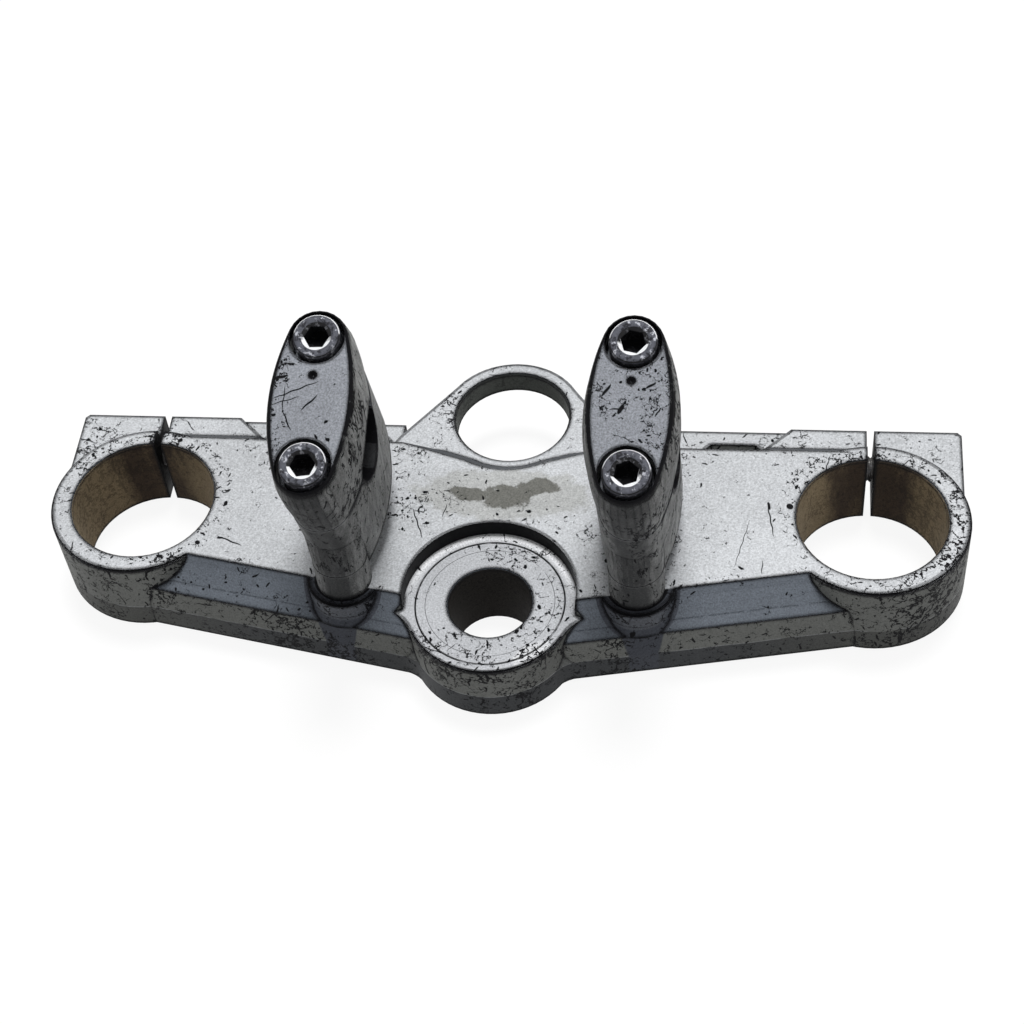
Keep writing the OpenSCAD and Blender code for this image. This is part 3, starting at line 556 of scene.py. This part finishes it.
def makeBoltSteel(name, base, stainAmount, roughness, metallic, specular, highlight=None):
    material, tree, shader = newMaterial(name)
    flake = place(tree, grain, scale=1200.0, contrast=0.9, seed=7.0)
    colour = toned(tree, base[:3], flake["Tone"])
    mottle = noiseField(tree, shifted(tree, (6.0, 6.0, 6.0)), 620.0, 4.0, 0.65)[1]
    mottle = addNode(tree, "SeparateColor", {0: mottle}).outputs
    flecks = product(tree, ramp(tree, mottle[0], 0.54, 0.64), stainAmount)
    colour = blend(tree, flecks, colour, boltLook["fleckColour"])
    stains = product(tree, ramp(tree, mottle[1], 0.50, 0.60), stainAmount)
    colour = blend(tree, stains, colour, boltLook["stainColour"])
    if highlight:  # painted highlight: the chamfer is painted bright on the side that faces the key light
        lean = math.radians(riserLook["lean"])
        normal = addNode(tree, "NewGeometry").outputs["Normal"]
        facing = addNode(tree, "VectorMath", {0: normal, 1: (0.0, math.cos(lean), math.sin(lean))},
                         operation="DOT_PRODUCT").outputs["Value"]
        paintedGlint = ramp(tree, calc(tree, "ADD", facing, product(tree, mottle[2], 0.3)), 0.20, 0.32)
        colour = blend(tree, paintedGlint, colour, highlight)
    rough = ramp(tree, stains, 0.0, 1.0, roughness, 0.75)
    finishSurface(tree, shader, colour, rough, flake["Height"], 0.4)
    shader.inputs["Metallic"].default_value = metallic
    shader.inputs["Specular IOR Level"].default_value = specular
    return material


yokePaint, riserPaint = makeYokePaint(yokeLook), makeRiserPaint(riserLook)
boltFace = makeBoltSteel("tarnishedHead", boltLook["faceColour"], stainAmount=0.9, roughness=0.62,
                         metallic=0.5, specular=0.3)
# the chamfers: painted shade, with a painted highlight on the side facing the key light
boltChamferLight = makeBoltSteel("chamferPaintedLight", boltLook["socketShadeColour"], stainAmount=0.3, roughness=0.5,
                           metallic=0.1, specular=0.2, highlight=boltLook["highlightColour"])
# painted shade: the hex socket painted near black
boltSocketShade = makeBoltSteel("socketPaintedShade", boltLook["socketShadeColour"], stainAmount=0.05, roughness=0.8,
                         metallic=0.0, specular=0.05)
boltThread = makeBoltSteel("dullThread", boltLook["threadColour"], stainAmount=0.5, roughness=0.5,
                           metallic=0.6, specular=0.5)
print("materials made")

for name, node in nodes.items():
    isRiser = name.startswith(("riser", "cap_left", "cap_right"))
    paint = yokePaint if name == "yoke" else riserPaint if isRiser else boltFace
    for slotIndex in range(max(1, len(node.material_slots))):
        if not node.material_slots:
            node.data.materials.append(paint)
        node.material_slots[slotIndex].link = "OBJECT"
        node.material_slots[slotIndex].material = paint


# the screws, in millimetres
capScrew = {"headRadius": 6.5, "headHeight": 8.0, "hexFlats": 6.0, "socketDepth": 4.6, "mouth": 4.15,
            "threadRadius": 4.0, "length": 38.0, "pitch": 1.25, "knurls": 48}
footScrew = {"headRadius": 8.0, "headHeight": 8.0, "hexFlats": 8.0, "socketDepth": 5.6, "mouth": 5.4,
             "threadRadius": 5.0, "length": 31.5, "pitch": 1.5, "knurls": 60}
pinchScrew = {"headRadius": 6.5, "headHeight": 8.0, "hexFlats": 6.0, "socketDepth": 4.2, "mouth": 4.15,
              "threadRadius": 4.0, "length": 38.0, "pitch": 1.25, "knurls": 48}


def hexReach(angle, flats):  # from the middle to the side of a hexagon
    return flats / 2 / math.cos((angle % (math.pi / 3)) - math.pi / 6)


def makeScrew(name, v, where):
    mesh = bmesh.new()
    count = 96
    ring = bmesh.ops.create_circle(mesh, segments=count, radius=1.0)["verts"]
    angles = {vert: math.atan2(vert.co.y, vert.co.x) for vert in ring}

    def shapeRing(verts, radiusAt, height):
        for vert in verts:
            angle = angles[vert]
            reach = radiusAt(angle) if callable(radiusAt) else radiusAt
            vert.co = (reach * math.cos(angle), reach * math.sin(angle), height)

    def nextRing(verts, radiusAt, height, slot):
        old = set(verts)
        edges = [e for e in mesh.edges if e.verts[0] in old and e.verts[1] in old]
        made = bmesh.ops.extrude_edge_only(mesh, edges=edges)["geom"]
        fresh = [g for g in made if isinstance(g, bmesh.types.BMVert)]
        for vert in fresh:  # the new ring keeps the angles of the old one
            angles[vert] = math.atan2(vert.co.y, vert.co.x)
        for face in (g for g in made if isinstance(g, bmesh.types.BMFace)):
            face.material_index = slot
        shapeRing(fresh, radiusAt, height)
        return fresh

    faceSlot, socketSlot, threadSlot, highlightSlot = range(4)  # the order of the materials below
    r, tr, top, mouth = v["headRadius"], v["threadRadius"], v["headHeight"], v["mouth"]
    floorZ = top - v["socketDepth"]
    hexAt = lambda angle: hexReach(angle, v["hexFlats"])
    ridge = lambda angle: r - 0.02 - 0.14 * (0.5 + 0.5 * math.cos(angle * v["knurls"]))
    shapeRing(ring, lambda angle: hexAt(angle) * 0.45, floorZ - 0.9)
    start = ring
    profile = (
        (hexAt, floorZ, socketSlot), (hexAt, top - 0.75, socketSlot),
        (lambda angle: hexAt(angle) + 0.10, top - 0.55, highlightSlot), (mouth, top - 0.10, highlightSlot),
        (mouth + 0.22, top - 0.02, faceSlot), (r - 0.85, top, faceSlot), (r - 0.45, top - 0.10, faceSlot),
        (r - 0.15, top - 0.38, highlightSlot), (r - 0.02, top - 0.75, faceSlot),  # rounded outer edge
        (ridge, top - 1.0, faceSlot), (ridge, 1.2, faceSlot),  # knurled side
        (r - 0.05, 0.9, faceSlot), (r - 0.25, 0.0, faceSlot),
        (tr, 0.0, threadSlot), (tr - 0.1, -0.5, threadSlot),  # shank
    )
    for radiusAt, height, slot in profile:
        ring = nextRing(ring, radiusAt, height, slot)
    steps = int((v["length"] - 2.0) / (v["pitch"] / 6))
    for step in range(1, steps):
        z = -0.5 - step * v["pitch"] / 6

        def threadAt(angle, z=z):
            phase = (z / v["pitch"] - angle / math.tau) % 1.0
            return tr - 0.62 * min(1.0, abs(phase * 2 - 1) * 1.25)
        ring = nextRing(ring, threadAt, z, threadSlot)
    ring = nextRing(ring, tr - 0.8, -v["length"] + 0.5, threadSlot)
    ring = nextRing(ring, tr - 1.3, -v["length"], threadSlot)
    for rim in (start, ring):  # both ends are closed
        rimSet = set(rim)
        edges = [e for e in mesh.edges if e.is_boundary and rimSet.issuperset(e.verts)]
        made = bmesh.ops.contextual_create(mesh, geom=edges)
        for face in made["faces"]:
            face.material_index = socketSlot if rim is start else threadSlot
    bmesh.ops.recalc_face_normals(mesh, faces=mesh.faces)
    bmesh.ops.transform(mesh, matrix=Matrix.Scale(0.001, 4), verts=mesh.verts)
    bmesh.ops.transform(mesh, matrix=where, verts=mesh.verts)
    data = bpy.data.meshes.new(name)
    mesh.to_mesh(data)
    mesh.free()
    data.shade_smooth()
    data.set_sharp_from_angle(angle=math.radians(32))
    piece = bpy.data.objects.new(name, data)
    bpy.context.collection.objects.link(piece)
    for material in (boltFace, boltSocketShade, boltThread, boltChamferLight):
        data.materials.append(material)
    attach(piece, "root")
    return piece


seats = {"riserX": 42.35, "topY": 8.1, "topZ": 100.4, "lean": 17.6, "halfPitch": 18.55, "headSeat": -7.0,
         "footY": 3.1, "footZ": 12.3, "pinchX": 125.9, "pinchY": 59.2, "pinchZ": 16.4}
socketTurns = {"left_front": 8, "left_rear": 2, "right_front": 20, "right_rear": -12}


def moveTo(x, y, z):  # places are in millimetres
    return Matrix.Translation(Vector((x, y, z)) * 0.001)


def turnedBy(degrees, axis):
    return Matrix.Rotation(math.radians(degrees), 4, axis)


for sideName, side in (("left", -1), ("right", 1)):
    riserFrame = moveTo(side * seats["riserX"], seats["topY"], seats["topZ"]) @ turnedBy(seats["lean"], "X")
    for endName, end in (("front", -1), ("rear", 1)):
        cornerName = sideName + "_" + endName
        where = riserFrame @ moveTo(0, end * seats["halfPitch"], seats["headSeat"])
        where = where @ turnedBy(socketTurns[cornerName], "Z")
        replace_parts(makeScrew("capScrew_" + cornerName, capScrew, where), "cap_bolt_" + cornerName)
    where = moveTo(side * seats["riserX"], seats["footY"], seats["footZ"]) @ turnedBy(180, "X")
    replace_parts(makeScrew("footScrew_" + sideName, footScrew, where), "foot_bolt_" + sideName)
    where = moveTo(side * seats["pinchX"], seats["pinchY"], seats["pinchZ"]) @ turnedBy(side * 90, "Y")
    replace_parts(makeScrew("pinchScrew_" + sideName, pinchScrew, where), "pinch_bolt_" + sideName)
print("screws made")


stageLook = {"floorSize": 12.0, "gap": 0.0002, "shade": 0.12, "glow": 0.91, "bounce": (0.25, 0.25, 0.26, 1)}


def seenDirectly(tree):  # by the camera, in gloss or through glass
    path = addNode(tree, "LightPath").outputs
    return largest(tree, path["Is Camera Ray"], path["Is Glossy Ray"], path["Is Transmission Ray"])


def makeFloor(v):
    mesh = bmesh.new()
    bmesh.ops.create_grid(mesh, x_segments=2, y_segments=2, size=v["floorSize"])
    data = bpy.data.meshes.new("floor")
    mesh.to_mesh(data)
    mesh.free()
    floor = bpy.data.objects.new("floor", data)
    bpy.context.collection.objects.link(floor)
    floor.location.z = -v["gap"]
    material, tree, shader = newMaterial("paleFloor")
    tree.nodes.remove(shader)
    seen = seenDirectly(tree)
    shadeColour = (v["shade"],) * 3 + (1,)
    tint = blend(tree, seen, v["bounce"], shadeColour)
    base = addNode(tree, "BsdfDiffuse", {"Color": tint})
    glow = addNode(tree, "Emission", {"Color": (1, 1, 1, 1), "Strength": product(tree, seen, v["glow"])})
    both = addNode(tree, "AddShader", {0: base.outputs[0], 1: glow.outputs[0]})
    # clear from below, so that the underside shows
    behind = addNode(tree, "NewGeometry").outputs["Backfacing"]
    clear = addNode(tree, "BsdfTransparent")
    mixed = addNode(tree, "MixShader", {0: behind, 1: both.outputs[0], 2: clear.outputs[0]})
    tree.links.new(mixed.outputs[0], tree.nodes["Material Output"].inputs["Surface"])
    data.materials.append(material)


makeFloor(stageLook)

lightLook = {"keyStrength": 2.35, "keyAngle": 16.0, "keyTilt": 14.0, "keyTurn": 10.0, "sky": 0.24,
             "sideStrength": 0.30, "sideAngle": 40.0, "sideTilt": 62.0, "sideTurn": 100.0}
world = bpy.data.worlds.new("softRoom")
bpy.context.scene.world = world
world.use_nodes = True
sky = world.node_tree
background = sky.nodes["Background"]
background.inputs["Color"].default_value = (1, 1, 1, 1)
skyLevel = addNode(sky, "MapRange", {"Value": seenDirectly(sky), "To Min": lightLook["sky"], "To Max": 1.0})
sky.links.new(skyLevel.outputs[0], background.inputs["Strength"])


def addSun(name, strength, angle, tilt, turn):  # tilt from upright, turn 0 comes from behind the part
    lamp = bpy.data.lights.new(name, "SUN")
    lamp.energy, lamp.angle = strength, math.radians(angle)
    holder = bpy.data.objects.new(name, lamp)
    bpy.context.collection.objects.link(holder)
    tilt, turn = math.radians(tilt), math.radians(turn)
    aim = Vector((math.sin(tilt) * math.sin(turn), math.sin(tilt) * math.cos(turn), math.cos(tilt)))
    holder.rotation_euler = aim.to_track_quat("Z", "Y").to_euler()


for sunName, sun in (("backKey", "key"), ("sideFill", "side")):
    addSun(sunName, *(lightLook[sun + part] for part in ("Strength", "Angle", "Tilt", "Turn")))

cameraLook = {"position": (0.07685, -0.34886, 0.50497), "lens": 73.03, "shiftX": 0.0371, "shiftY": 0.0140,
              "turn": (2.471, 0.093, -0.158)}
turnVector = Vector(cameraLook["turn"])
view = Matrix.Rotation(turnVector.length, 3, turnVector.normalized())
cameraData = bpy.data.cameras.new("camera")
cameraData.lens, cameraData.sensor_width = cameraLook["lens"], 36.0
cameraData.shift_x, cameraData.shift_y = cameraLook["shiftX"], cameraLook["shiftY"]
cameraData.clip_start, cameraData.clip_end = 0.01, 50.0
camera = bpy.data.objects.new("camera", cameraData)
bpy.context.collection.objects.link(camera)
axes = Matrix((view[0], -view[1], -view[2])).transposed()
camera.matrix_world = Matrix.Translation(cameraLook["position"]) @ axes.to_4x4()
bpy.context.scene.camera = camera
bpy.context.scene.view_settings.view_transform = "Standard"
print("floor, light and camera placed")
